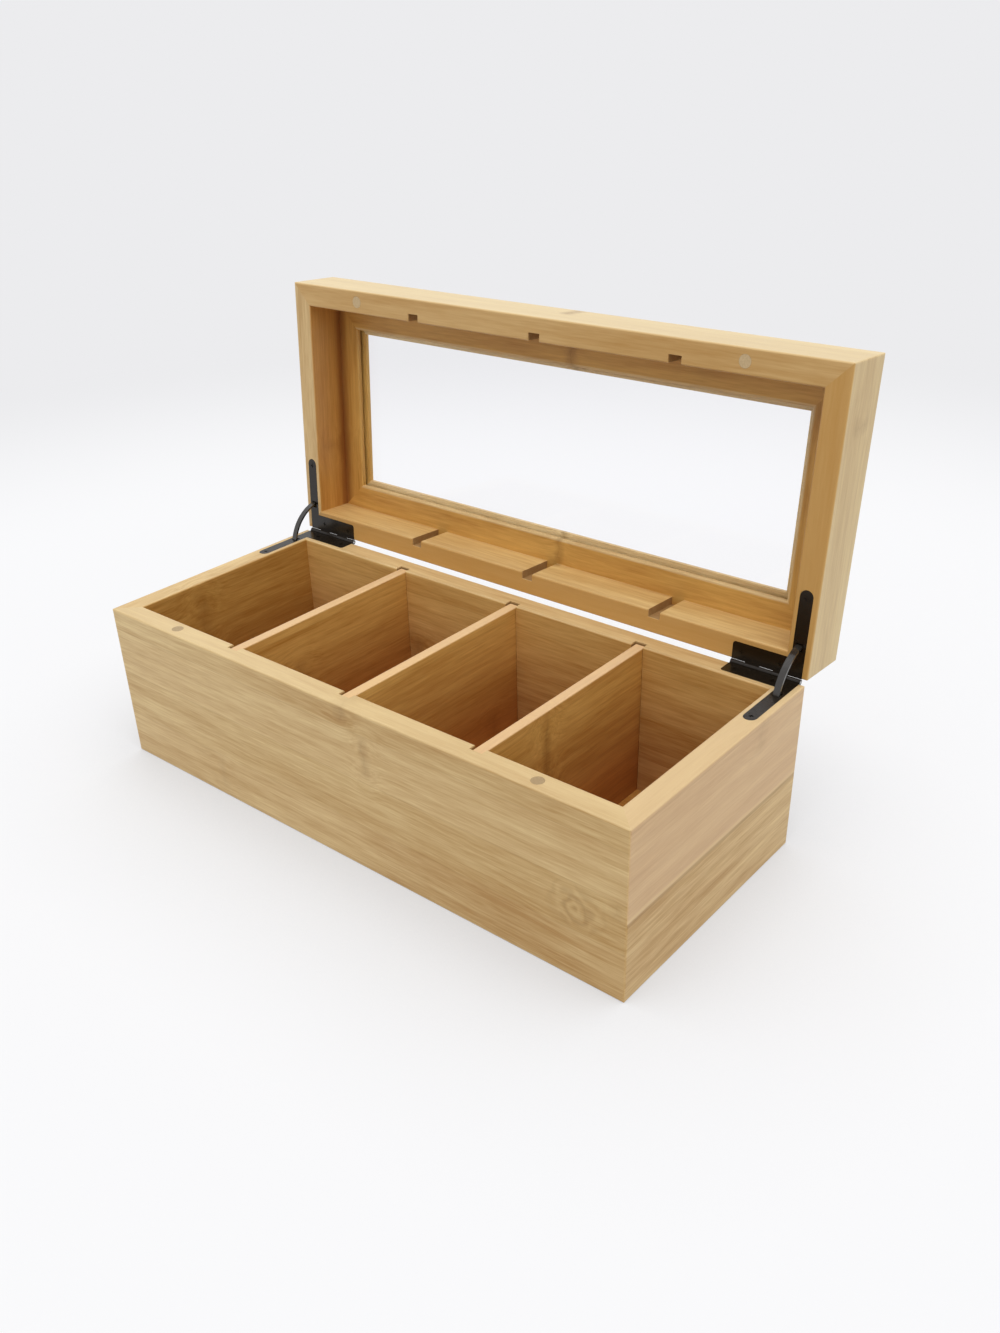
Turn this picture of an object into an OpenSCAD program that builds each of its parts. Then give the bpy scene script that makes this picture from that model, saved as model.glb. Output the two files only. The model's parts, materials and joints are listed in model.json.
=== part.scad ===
// Bamboo tea bag box: a mitred base with three lift-out dividers, and a
// mitred lid with a clear window, hung on two L-shaped hinges whose curved
// stay arms float through slots in both leaves.
// Origin: middle of the underside. +X runs right along the length, +Y to the
// back, +Z up. The lid is drawn open, at the stop of its stay arms.

/* [Box] */
// Length of the box, left to right
box_length = 312; // [240:1:400]
// Width of the box, front to back
box_width = 133; // [115:1:200]
// Height of the base, up to its rim
base_height = 83; // [60:1:140]
// Thickness of the walls of base and lid
wall = 11; // [10.5:0.5:16]
// Radius that eases the outside and rim edges
edge_round = 0.8; // [0.3:0.1:1.4]
// Thickness of the floor panel
floor_thickness = 5; // [3:0.5:9]
// How far the floor panel is let into each wall
floor_seat = 5; // [3:0.5:7]

/* [Dividers] */
// Thickness of a divider
divider_thickness = 5.2; // [3:0.2:8]
// Distance from one divider groove to the next
divider_pitch = 74.5; // [50:0.5:78]
// How far the middle groove lies right of the box's middle
divider_shift = 3; // [-6:0.5:6]
// Depth of the grooves in the front and back walls
groove_depth = 3.8; // [2.5:0.1:5]
// Spare width of a groove, all on the left of its divider
groove_slack = 1.1; // [0.4:0.1:2]
// How far the dividers stop short of the bottom of their back grooves
divider_back_gap = 1.7; // [0.3:0.1:2]
// How far the dividers stop below the rim
divider_drop = 0.5; // [0:0.1:3]

/* [Lid] */
// Height of the lid, rim to top
lid_height = 28; // [24:1:50]
// Width of the four rails round the window, seen from inside
rail_width = 24; // [17:1:34]
// How far the rails stand into the window behind the pane
window_lip = 2.5; // [0:0.5:4]
// Thickness of the rails
rail_thickness = 7; // [6:0.5:10]
// Thickness of the clear pane
pane_thickness = 2; // [1.5:0.1:3]
// How far the pane runs into the groove of each rail
pane_seat = 5; // [3:0.5:6]
// Gap between the two rims when the lid is shut
rim_gap = 0.3; // [0.2:0.1:1]
// Angle at which the stay arms stop the lid
open_angle = 93.5; // [85:0.5:100]

/* [Magnets] */
// Diameter of the round magnets in both front rims
magnet_diameter = 5.6; // [4:0.2:7]
// Length of a magnet
magnet_length = 4; // [2:0.5:8]
// Distance from a magnet to the end of the box
magnet_inset = 46; // [25:1:80]

/* [Hinges] */
// Length of a hinge along the back of the box
hinge_span = 34; // [28:1:44]
// How far a side leg reaches forward from the back of the box
leg_reach = 40; // [34:1:55]
// Width of a side leg
leg_width = 6; // [5.6:0.2:7]
// Width of the wood left outside a side leg
leg_inset = 2.8; // [2:0.2:3.4]
// Depth of the leg that lies on the back wall
back_leg_depth = 8.4; // [7:0.2:9.4]
// Thickness of the sheet the leaves are cut from
leaf_thickness = 1; // [0.8:0.1:1.4]
// Outside diameter of the knuckles
knuckle_diameter = 2.4; // [2.2:0.1:3.2]
// Diameter of the hinge pins
pin_diameter = 1.2; // [1:0.1:1.4]

/* [Stay arms] */
// Distance from the hinge pin to where an arm passes each leaf
arm_reach = 16.2; // [14:0.2:20]
// Radius that the strap of an arm is bent to
arm_bend = 22.5; // [20:0.5:30]
// Width of an arm's strap, along the pin
arm_width = 3; // [2:0.2:3.4]
// Thickness of an arm's strap
arm_thickness = 1; // [0.8:0.1:1.6]
// Width of the lugs that stop the arm at each leaf
lug_width = 4.6; // [4.2:0.2:5.4]
// Length of a lug along the arm
lug_length = 2; // [1:0.5:4]

/* [Screws] */
// Diameter of the screw shanks
screw_diameter = 2; // [1.6:0.1:2.4]
// Diameter of the countersunk heads
screw_head = 3.7; // [3.2:0.1:4.4]
// Length of a screw, head and all
screw_length = 10; // [7:0.5:14]

/* [Hidden] */

$fn = 48;

// Which way a frame's front side is turned to make each of its four sides
FRONT = 0;
BACK = 180;
LEFT = -90;
RIGHT = 90;
// Factor on X that makes the left-hand twin of a right-hand piece
RIGHT_HAND = 1;
LEFT_HAND = -1;

bamboo = "#CDA671";
bamboo_light = "#E3C695";
bamboo_inner = "#B98A52";
black_steel = "#1D1D1F";
nickel = "#9A9A96";
clear_pane = "#DDEBEE40";

// Clearances
over = 1;                  // how far a cut runs past the face it leaves by
floor_play = 0.15;         // floor panel in its rebate, each side
divider_play = 0.2;        // divider against the right side of its groove
divider_front_play = 0.3;  // divider's front end to the bottom of its groove
pane_play = 0.3;           // pane edge to groove bottom
pane_slack = 0.1;          // pane face to groove side
magnet_play = 0.05;        // magnet in its hole, radial
leaf_play = 0.1;           // leaf outline to its recess
knuckle_play = 0.15;       // knuckle to the wood, and knuckle to knuckle
pin_grip = 0.02;           // pin in the lower leaf, radial
pin_play = 0.05;           // pin in the upper leaf, radial
arm_play = 0.2;            // arm to the edges of its slots
lug_play = 0.15;           // open arm's lug to the leaf that stops it
mortise_play = 0.4;        // arm to the wood round it
mortise_spare = 2;         // shut arm's end to the end of its mortise, degrees
screw_play = 0.05;         // screw to leaf and to its pilot hole
pilot_spare = 0.6;         // pilot hole past the tip of the screw

// Base
base_inner_width = box_width - 2 * wall;
divider_height = base_height - divider_drop - floor_thickness;
groove_width = divider_thickness + groove_slack + divider_play;
divider_length = base_inner_width + 2 * groove_depth - divider_front_play - divider_back_gap;
divider_round = 0.6;

// Lid, in the place it has when shut
lid_rim = base_height + rim_gap;
lid_depth = lid_height - rail_thickness;
pane_groove = pane_thickness + 2 * pane_slack;
pane_margin = rail_width - pane_seat;
inner_ease = 0.6;          // chamfer on the rails' edge round the window, inside
pane_bottom = lid_rim + lid_depth + (rail_thickness - pane_thickness) / 2;

// Hinge axis: midway between the rims, just clear of the back face
axis_y = box_width / 2 + knuckle_diameter / 2 + knuckle_play;
axis_z = base_height + rim_gap / 2;
leaf_outer = box_length / 2 - leg_inset;
leg_middle = leaf_outer - leg_width / 2;
knuckle_count = 5;
knuckle_pitch = hinge_span / knuckle_count;
leaf_corner = 1.5;
web_root = 1;              // overlap of a knuckle's web with its leaf

// Stay arm, in polar terms about the pin. Turns are counted from the middle
// of the open lid's angle, where the strap comes nearest the pin. The middle
// of its bend lies bend_offset beyond the pin.
half_open = open_angle / 2;
bend_offset = sqrt(pow(arm_bend, 2) - pow(arm_reach * sin(half_open), 2))
    - arm_reach * cos(half_open);
function strap_distance(turn) =
    sqrt(pow(arm_bend, 2) - pow(bend_offset * sin(turn), 2)) - bend_offset * cos(turn);
function bend_turn(turn) = asin(strap_distance(turn) * sin(turn) / arm_bend);

leaf_under = leaf_thickness + rim_gap / 2;
lug_under = leaf_under + lug_play;
leaf_turn = half_open + asin(leaf_under / arm_reach);
lug_turn = half_open + asin((lug_under + lug_length) / arm_reach);
strap_near = strap_distance(0) - arm_thickness / 2;
slot_far = strap_distance(leaf_turn) + arm_thickness / 2 + arm_play;
slot_near = strap_near - arm_play;
mortise_near = strap_near - mortise_play;
mortise_far = strap_distance(lug_turn) + arm_thickness / 2 + mortise_play;
mortise_end = lug_turn + mortise_spare;
mortise_half = lug_width / 2 + mortise_play;

// Screws
head_height = (screw_head - screw_diameter) / 2;
tip_height = 2 * screw_diameter;
tip_diameter = 0.3;
recess_length = 0.6 * screw_head;
recess_width = 0.6;
recess_depth = 0.45;
screw_margin = 4.6;        // end of a back leg to its first screw
leg_screw_back = 0.6;      // side leg's screw behind the middle of its round end
screw_places = [
    [leaf_outer - hinge_span + screw_margin, box_width / 2 - back_leg_depth / 2],
    [leaf_outer - leg_width - screw_margin, box_width / 2 - back_leg_depth / 2],
    [leg_middle, box_width / 2 - leg_reach + leg_width / 2 + leg_screw_back]
];

// ---------------------------------------------------------------- helpers

// Turns what is drawn for the shut lid up about the hinge axis
module opened() {
    translate([0, axis_y, axis_z])
        rotate([-open_angle, 0, 0])
            translate([0, -axis_y, -axis_z])
                children();
}

// The upper twin of a lower hinge piece, across the plane between the rims
module upper_twin() {
    translate([0, 0, axis_z]) mirror([0, 0, 1]) translate([0, 0, -axis_z]) children();
}

module handed(hand) {
    mirror([hand == LEFT_HAND ? 1 : 0, 0, 0]) children();
}

// A rectangle with a quarter round on each corner listed as
// [low left, low right, high right, high left]
module eased_rectangle(size, radius, corners) {
    middle = size / 2;
    difference() {
        square(size);
        for (i = [0 : 3])
            if (corners[i]) {
                sx = (i == 1 || i == 2) ? 1 : -1;
                sy = i > 1 ? 1 : -1;
                centre = [middle.x + sx * (middle.x - radius), middle.y + sy * (middle.y - radius)];
                translate(centre)
                    difference() {
                        translate([sx > 0 ? 0 : -2 * radius, sy > 0 ? 0 : -2 * radius])
                            square(2 * radius);
                        circle(radius);
                    }
            }
    }
}

// The whole box in plan, with its upright edges eased, from z = low to high
module eased_outline(low, high) {
    translate([-box_length / 2, -box_width / 2, low])
        linear_extrude(high - low)
            eased_rectangle([box_length, box_width], edge_round, [true, true, true, true]);
}

// One side of a mitred frame. The child is its section: x runs inwards from
// the outer face and y up from z = low.
module mitred_side(turn, width, low, height) {
    along_x = turn == FRONT || turn == BACK;
    span = along_x ? box_length : box_width;
    reach = (along_x ? box_width : box_length) / 2;
    intersection() {
        rotate([0, 0, turn])
            translate([0, -reach, low])
                intersection() {
                    rotate([90, 0, 90])
                        translate([0, 0, -span / 2])
                            linear_extrude(span)
                                children();
                    linear_extrude(height)
                        polygon([[-span / 2, 0], [span / 2, 0],
                                 [span / 2 - width, width], [-span / 2 + width, width]]);
                }
        eased_outline(low, low + height);
    }
}

// Draws in the plane of the right-hand leg's middle, with the pin as origin,
// x straight forwards and y up
module leg_plane() {
    translate([leg_middle, axis_y, axis_z]) rotate([90, 0, -90]) children();
}

// Part of a ring about the origin, as thick as 2 * half, from one turn to the other
module ring_part(half, inner, outer, from, to) {
    rotate([0, 0, from])
        rotate_extrude(angle = to - from)
            translate([inner, -half])
                square([outer - inner, 2 * half]);
}

module along_axis(x) {
    translate([x, axis_y, axis_z]) rotate([0, 90, 0]) children();
}

// ------------------------------------------------------------------- cuts

function groove_x(i) = divider_shift + i * divider_pitch;

module divider_grooves(low, high) {
    for (i = [-1 : 1])
        translate([groove_x(i) - groove_width / 2, -base_inner_width / 2 - groove_depth, low])
            cube([groove_width, base_inner_width + 2 * groove_depth, high - low]);
}

module magnet_places() {
    for (hand = [LEFT_HAND, RIGHT_HAND])
        translate([hand * (box_length / 2 - magnet_inset), -(box_width - wall) / 2, base_height])
            children();
}

module magnet_holes() {
    magnet_places()
        translate([0, 0, -magnet_length])
            cylinder(d = magnet_diameter + 2 * magnet_play, h = magnet_length + over);
}

module leaf_outline(grow) {
    back = box_width / 2;
    leg_end = back - leg_reach + leg_width / 2;
    radius = leg_width / 2 + grow;
    translate([leaf_outer - hinge_span - grow, back - back_leg_depth - grow])
        eased_rectangle([hinge_span + 2 * grow, back_leg_depth + 2 * grow], leaf_corner,
                        [true, false, false, false]);
    translate([leg_middle - radius, leg_end]) square([2 * radius, back + grow - leg_end]);
    translate([leg_middle, leg_end]) circle(radius);
}

// Everything a right-hand lower hinge needs cut from the wood under it
module hinge_cuts() {
    translate([0, 0, base_height - leaf_thickness])
        linear_extrude(leaf_thickness + over)
            leaf_outline(leaf_play);
    leg_plane() ring_part(mortise_half, mortise_near, mortise_far, -mortise_end, 0);
    for (place = screw_places)
        translate([place.x, place.y, base_height - screw_length - pilot_spare])
            cylinder(d = screw_diameter + 2 * screw_play, h = screw_length + pilot_spare);
}

module both_hinge_cuts() {
    for (hand = [LEFT_HAND, RIGHT_HAND]) handed(hand) hinge_cuts();
}

// ------------------------------------------------------------------- base

module base_wall(turn) {
    color(bamboo)
        difference() {
            mitred_side(turn, wall, 0, base_height)
                difference() {
                    eased_rectangle([wall, base_height], edge_round, [true, false, true, true]);
                    translate([wall - floor_seat, -over])
                        square([floor_seat + over, floor_thickness + over]);
                }
            if (turn == FRONT || turn == BACK) divider_grooves(floor_thickness, base_height + over);
            if (turn == FRONT) magnet_holes();
            if (turn != FRONT) both_hinge_cuts();
        }
}

module base_front_wall() { base_wall(FRONT); }
module base_back_wall() { base_wall(BACK); }
module base_left_wall() { base_wall(LEFT); }
module base_right_wall() { base_wall(RIGHT); }

module base_floor() {
    margin = wall - floor_seat + floor_play;
    size = [box_length - 2 * margin, box_width - 2 * margin];
    color(bamboo_inner)
        translate([-size.x / 2, -size.y / 2, 0]) cube([size.x, size.y, floor_thickness]);
}

module magnet() {
    translate([0, 0, -magnet_length]) cylinder(d = magnet_diameter, h = magnet_length);
}

module base_magnets() { color(nickel) magnet_places() magnet(); }

module divider(i) {
    right_face = groove_x(i) + groove_width / 2 - divider_play;
    back_end = base_inner_width / 2 + groove_depth - divider_back_gap;
    color(bamboo_light)
        translate([right_face - divider_thickness, back_end, floor_thickness])
            rotate([90, 0, 0])
                linear_extrude(divider_length)
                    eased_rectangle([divider_thickness, divider_height], divider_round,
                                    [false, false, true, true]);
}

module divider_left() { divider(-1); }
module divider_middle() { divider(0); }
module divider_right() { divider(1); }

// -------------------------------------------------------------------- lid

module lid_wall(turn) {
    color(bamboo)
        opened()
            difference() {
                mitred_side(turn, wall, lid_rim, lid_depth)
                    eased_rectangle([wall, lid_depth], edge_round, [true, true, false, false]);
                if (turn == FRONT || turn == BACK)
                    divider_grooves(lid_rim - over, lid_rim + lid_depth + over);
                upper_twin() {
                    if (turn == FRONT) magnet_holes();
                    if (turn != FRONT) both_hinge_cuts();
                }
            }
}

module lid_front_wall() { lid_wall(FRONT); }
module lid_back_wall() { lid_wall(BACK); }
module lid_left_wall() { lid_wall(LEFT); }
module lid_right_wall() { lid_wall(RIGHT); }

module lid_rail(turn) {
    full_width = rail_width + window_lip;
    groove = full_width - pane_margin + pane_play;
    cheek = (rail_thickness - pane_groove) / 2;
    color(bamboo_light)
        opened()
            mitred_side(turn, full_width, lid_rim + lid_depth, rail_thickness)
                difference() {
                    eased_rectangle([full_width, rail_thickness], edge_round,
                                    [false, false, true, true]);
                    translate([rail_width, -over]) square([window_lip + over, cheek + 2 * over]);
                    translate([rail_width, 0])
                        rotate(45) square(sqrt(2) * inner_ease, center = true);
                    translate([full_width - groove, cheek]) square([groove + over, pane_groove]);
                }
}

module lid_front_rail() { lid_rail(FRONT); }
module lid_back_rail() { lid_rail(BACK); }
module lid_left_rail() { lid_rail(LEFT); }
module lid_right_rail() { lid_rail(RIGHT); }

module window_pane() {
    size = [box_length - 2 * pane_margin, box_width - 2 * pane_margin];
    color(clear_pane)
        opened()
            translate([-size.x / 2, -size.y / 2, pane_bottom])
                cube([size.x, size.y, pane_thickness]);
}

module lid_magnets() { color(nickel) opened() upper_twin() magnet_places() magnet(); }

// ----------------------------------------------------------------- hinges

module screw_hole() {
    cylinder(d = screw_diameter + 2 * screw_play, h = 4 * leaf_thickness, center = true);
    translate([0, 0, -head_height])
        cylinder(d1 = screw_diameter + 2 * screw_play, d2 = screw_head + 2 * screw_play,
                 h = head_height);
}

// Lower leaf of the right-hand hinge: even knuckles on the lower leaf, odd
// ones on the upper, each carried by a web as thick as the leaf
module leaf(first_knuckle, bore_play) {
    slot = [arm_width + 2 * arm_play, slot_far - slot_near];
    width = knuckle_pitch - knuckle_play;
    difference() {
        union() {
            translate([0, 0, base_height - leaf_thickness])
                linear_extrude(leaf_thickness)
                    difference() {
                        leaf_outline(0);
                        translate([leg_middle - slot.x / 2, axis_y - slot_far]) square(slot);
                    }
            for (i = [first_knuckle : 2 : knuckle_count - 1]) {
                x = leaf_outer - hinge_span + i * knuckle_pitch + knuckle_play / 2;
                along_axis(x) cylinder(d = knuckle_diameter, h = width);
                translate([x, box_width / 2 - web_root, base_height - leaf_thickness])
                    cube([width, axis_y - box_width / 2 + web_root, leaf_thickness]);
            }
        }
        along_axis(leaf_outer - hinge_span - over)
            cylinder(d = pin_diameter + 2 * bore_play, h = hinge_span + 2 * over);
        for (place = screw_places) translate([place.x, place.y, base_height]) screw_hole();
    }
}

module lower_leaf(hand) { color(black_steel) handed(hand) leaf(0, pin_grip); }
module upper_leaf(hand) { color(black_steel) opened() upper_twin() handed(hand) leaf(1, pin_play); }

module left_lower_leaf() { lower_leaf(LEFT_HAND); }
module right_lower_leaf() { lower_leaf(RIGHT_HAND); }
module left_upper_leaf() { upper_leaf(LEFT_HAND); }
module right_upper_leaf() { upper_leaf(RIGHT_HAND); }

module hinge_pin(hand) {
    color(nickel)
        handed(hand)
            along_axis(leaf_outer - hinge_span)
                cylinder(d = pin_diameter, h = hinge_span);
}

module left_hinge_pin() { hinge_pin(LEFT_HAND); }
module right_hinge_pin() { hinge_pin(RIGHT_HAND); }

// The wedge between the open leaves' hidden sides, less the play of the lugs
module lug_wedge() {
    root = -lug_under / sin(half_open);
    far = 2 * arm_bend;
    rotate(half_open)
        translate([root, 0])
            polygon([[0, 0], far * [cos(half_open), -sin(half_open)], [2 * far, 0],
                     far * [cos(half_open), sin(half_open)]]);
}

// A bent strap, with a lug across each end that catches under its leaf when
// the lid is fully open
module stay_arm(hand) {
    half_lug = lug_width / 2;
    end = bend_turn(lug_turn);
    color(black_steel)
        handed(hand)
            leg_plane()
                difference() {
                    rotate([0, 0, half_open])
                        translate([-bend_offset, 0])
                            ring_part(half_lug, arm_bend - arm_thickness / 2,
                                      arm_bend + arm_thickness / 2, -end, end);
                    for (side = [0, 1])
                        mirror([0, 0, side])
                            translate([0, 0, arm_width / 2])
                                linear_extrude(half_lug)
                                    lug_wedge();
                }
}

module left_stay_arm() { stay_arm(LEFT_HAND); }
module right_stay_arm() { stay_arm(RIGHT_HAND); }

module screw() {
    shank = screw_length - head_height - tip_height;
    difference() {
        translate([0, 0, -screw_length])
            union() {
                cylinder(d1 = tip_diameter, d2 = screw_diameter, h = tip_height);
                translate([0, 0, tip_height]) cylinder(d = screw_diameter, h = shank);
                translate([0, 0, tip_height + shank])
                    cylinder(d1 = screw_diameter, d2 = screw_head, h = head_height);
            }
        for (turn = [0, 90])
            rotate([0, 0, turn])
                cube([recess_length, recess_width, 2 * recess_depth], center = true);
    }
}

module screw_group(hand) {
    handed(hand)
        for (place = screw_places) translate([place.x, place.y, base_height]) screw();
}

module lower_screws(hand) { color(black_steel) screw_group(hand); }
module upper_screws(hand) { color(black_steel) opened() upper_twin() screw_group(hand); }

module left_lower_screws() { lower_screws(LEFT_HAND); }
module right_lower_screws() { lower_screws(RIGHT_HAND); }
module left_upper_screws() { upper_screws(LEFT_HAND); }
module right_upper_screws() { upper_screws(RIGHT_HAND); }

// ----------------------------------------------------------------- drawing

base_front_wall();
base_back_wall();
base_left_wall();
base_right_wall();
base_floor();
base_magnets();
divider_left();
divider_middle();
divider_right();
lid_front_wall();
lid_back_wall();
lid_left_wall();
lid_right_wall();
lid_front_rail();
lid_back_rail();
lid_left_rail();
lid_right_rail();
window_pane();
lid_magnets();
left_lower_leaf();
right_lower_leaf();
left_upper_leaf();
right_upper_leaf();
left_hinge_pin();
right_hinge_pin();
left_stay_arm();
right_stay_arm();
left_lower_screws();
right_lower_screws();
left_upper_screws();
right_upper_screws();
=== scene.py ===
"""Finishes the tea bag box: bamboo boards, black hinges, magnets, a clear pane and a studio."""

import json
import math
from functools import partial
from typing import NamedTuple

import bpy
from bpy.props import FloatProperty, FloatVectorProperty, PointerProperty
from mathutils import Matrix, Vector


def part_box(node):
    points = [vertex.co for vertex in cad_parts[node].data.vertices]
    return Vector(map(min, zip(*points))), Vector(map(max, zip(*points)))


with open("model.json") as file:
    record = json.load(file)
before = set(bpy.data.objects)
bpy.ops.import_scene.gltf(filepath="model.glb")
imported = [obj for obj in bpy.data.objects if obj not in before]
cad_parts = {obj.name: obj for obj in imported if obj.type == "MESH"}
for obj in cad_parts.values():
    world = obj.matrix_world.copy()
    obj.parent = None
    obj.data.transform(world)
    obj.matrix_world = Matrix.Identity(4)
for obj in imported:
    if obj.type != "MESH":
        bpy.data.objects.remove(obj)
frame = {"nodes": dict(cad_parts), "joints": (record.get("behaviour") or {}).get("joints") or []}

bl_info = {
    "name": "Bamboo Tea Bag Box",
    "version": (1, 0, 0),
    "blender": (4, 5, 0),
    "location": "View3D > Sidebar > Tea Box",
    "description": "Gives a bamboo tea bag box its boards, hinges, window and studio",
    "category": "Object",
}

MM = 1000.0  # materials count in millimetres, objects in metres


def linear(code):
    """Linear RGB of an sRGB hex code: each part c becomes c / 12.92 up to 0.04045, and
    ((c + 0.055) / 1.055) ** 2.4 above it."""
    parts = [int(code[i : i + 2], 16) / 255 for i in (1, 3, 5)]
    return tuple(c / 12.92 if c <= 0.04045 else ((c + 0.055) / 1.055) ** 2.4 for c in parts)


def rgba(colour):
    return (*colour[:3], 1.0)


# ------------------------------------------------------------ sizes of the box


def box_mm(node):
    """Lowest and highest corner of a CAD node at rest, in millimetres."""
    low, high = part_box(node)
    return low * MM, high * MM


def shut_turn():
    """The turn that brings the open lid down on the base, in millimetres."""
    hinge = next(j for j in frame["joints"] if j["name"] == "lid_hinge")
    pivot = Matrix.Translation(Vector(hinge["pos_m"]) * MM)
    angle = math.radians(min(hinge["range_deg"]))
    turn = Matrix.Rotation(angle, 4, Vector(hinge["axis"]))
    return pivot @ turn @ pivot.inverted()


def shut_span(node, axis):
    """Least and greatest distance of a lid node's points from the middle along one axis, once
    the lid is shut."""
    turn = shut_turn()
    reach = [abs((turn @ (v.co * MM))[axis]) for v in frame["nodes"][node].data.vertices]
    return min(reach), max(reach)


BASE_LOW, BASE_HIGH = box_mm("base_left_wall")
HALF_LENGTH = -BASE_LOW.x
HALF_WIDTH = -BASE_LOW.y  # to the rounded corner, 0.23 mm short of half the box's width
BASE_HEIGHT = BASE_HIGH.z
WALL = BASE_HIGH.x - BASE_LOW.x
FLOOR_TOP = box_mm("base_floor")[1].z

# Sizes of the finish, in millimetres
SEAM = 39.2  # height of the seam between the two boards of the base's right side
SEAM_START = -2.3  # where the sides' strips start, below the box, so that one ends on the seam
SHADE_FADE_HEIGHTS = (12.0, BASE_HEIGHT - 15.0)  # heights between which the painted shade at the bottom of the inner faces fades out
DEEP_SHADE_FADE_HEIGHTS = (20.0, BASE_HEIGHT - 3.0)  # the same on the dividers and the back wall
GROOVE_BAND = 4.0  # depth of the band in a wall that takes in the dividers' grooves
SKIN = 0.6  # how deep the finish of an outer face reaches in
WINDOW_LIP = 2.5  # how much nearer the middle the rails reach behind the pane than before it
WINDOW_EDGE = 1.0  # width of the edge round the window that the rails' tint keeps off


# ------------------------------------------------------------------- settings


class BambooSettings(bpy.types.PropertyGroup):
    pale: FloatVectorProperty(
        name="Pale Fibre", description="Colour of the palest fibres of a board",
        subtype="COLOR", size=3, min=0, max=1, default=linear("#F6DAA0"))
    dark: FloatVectorProperty(
        name="Dark Fibre", description="Colour of the darkest fibres of a board",
        subtype="COLOR", size=3, min=0, max=1, default=linear("#BC8E49"))
    node: FloatVectorProperty(
        name="Growth Ring", description="Colour of the rings where the cane had its joints",
        subtype="COLOR", size=3, min=0, max=1, default=linear("#8E6535"))
    blush: FloatVectorProperty(
        name="Pink Strip", description="Colour that some strips lean to",
        subtype="COLOR", size=3, min=0, max=1, default=linear("#EBC59C"))
    rim: FloatVectorProperty(
        name="Planed Rim", description="Colour of the rim of the base",
        subtype="COLOR", size=3, min=0, max=1, default=linear("#E4CD9E"))
    # Painted shade in the lid's inner corners, where the wall meets the rail
    ran: FloatVectorProperty(
        name="Lacquer Run", description="Colour of the lacquer that ran into the lid's corners",
        subtype="COLOR", size=3, min=0, max=1, default=linear("#84461C"))
    # Partly a paler board and partly painted sheen on the lid's outer faces
    pale_board_and_sheen: FloatVectorProperty(
        name="Bleached Face", description="Colour that the lid's outer faces lean to",
        subtype="COLOR", size=3, min=0, max=1, default=linear("#F8E6B8"))
    sanded: FloatVectorProperty(
        name="Sanded Edge", description="Colour of the top edges of the dividers",
        subtype="COLOR", size=3, min=0, max=1, default=linear("#F4D3AA"))
    # Painted shade in the grooves, where they lie in shadow
    groove_shade: FloatVectorProperty(
        name="Scorched Groove", description="Colour that the cutter left in the grooves",
        subtype="COLOR", size=3, min=0, max=1, default=linear("#87592A"))
    # The lid's rim is darker than the base's: painted shade on faces that point forward and down
    # while the lid stands open
    sawn: FloatVectorProperty(
        name="Sawn Rim", description="Colour of the lid's rim, which was sawn off the base",
        subtype="COLOR", size=3, min=0, max=1, default=linear("#CF9C50"))
    # Painted shade: the tint that darkens the inner faces towards the bottom
    painted_depth_shade: FloatVectorProperty(
        name="Pooled Lacquer", description="Tint of the lacquer at the bottom of the inner faces",
        subtype="COLOR", size=3, min=0, max=1, default=linear("#C29C8B"))
    strip: FloatProperty(
        name="Strip Width", description="Width of the cane strips that a board is glued up from",
        subtype="DISTANCE", unit="LENGTH", min=0.005, max=0.05, default=0.022)


class HingeSettings(bpy.types.PropertyGroup):
    # Black of the coat; its lean to brown is a painted reflection of the wood
    black: FloatVectorProperty(
        name="Black Coat", description="Colour of the black coat on leaves, arms and screws",
        subtype="COLOR", size=3, min=0, max=1, default=linear("#1C1409"))
    wire: FloatVectorProperty(
        name="Pin Steel", description="Colour of the drawn steel wire of the hinge pins",
        subtype="COLOR", size=3, min=0, max=1, default=linear("#A9A8A6"))
    # Warm rather than grey: a painted reflection of the wood round the magnets
    nickel: FloatVectorProperty(
        name="Magnet Plating", description="Colour of the dull nickel on the magnets",
        subtype="COLOR", size=3, min=0, max=1, default=linear("#D7BD94"))


class StudioSettings(bpy.types.PropertyGroup):
    floor: FloatVectorProperty(
        name="Floor", description="Colour of the floor near the box",
        subtype="COLOR", size=3, min=0, max=1, default=linear("#F9F9FB"))
    backdrop: FloatVectorProperty(
        name="Backdrop", description="Colour of the backdrop far behind the box",
        subtype="COLOR", size=3, min=0, max=1, default=linear("#ECECEE"))
    daylight: FloatProperty(
        name="Daylight", description="Strength of the even light from all sides",
        min=0, max=2, default=0.52)
    softbox: FloatProperty(
        name="Softbox", description="Strength of the broad lamp overhead",
        min=0, max=5, default=1.7)


# ------------------------------------------------------------------ materials


def add(tree, kind, *feeds, **named):
    """Adds one node. Feeds go in order to its live inputs; a named one goes to the setting of that
    name, or else to the input of that name. A feed is a value, a socket, or a node, which stands
    for its first live output."""
    node = tree.nodes.new("ShaderNode" + kind)
    inputs = {}
    for name, feed in named.items():
        if hasattr(node, name):
            setattr(node, name, feed)
        else:
            inputs[name.replace("_", " ")] = feed
    live = [s for s in node.inputs if s.enabled]
    pairs = list(zip(live, feeds))
    pairs += [(next(s for s in live if s.name == name), f) for name, f in inputs.items()]
    for socket, feed in pairs:
        if isinstance(feed, bpy.types.Node):
            feed = next(s for s in feed.outputs if s.enabled)
        if isinstance(feed, bpy.types.NodeSocket):
            tree.links.new(feed, socket)
        else:
            socket.default_value = feed
    return node


def new_material(name):
    material = bpy.data.materials.new(name)
    material.use_nodes = True
    tree = material.node_tree
    tree.nodes.clear()
    return material, tree


def finish_material(tree, shader):
    add(tree, "OutputMaterial", Surface=shader)


def dress(node, material):
    """Puts one material on every face of a CAD node."""
    slots = frame["nodes"][node].data.materials
    slots.clear()
    slots.append(material)


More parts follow.
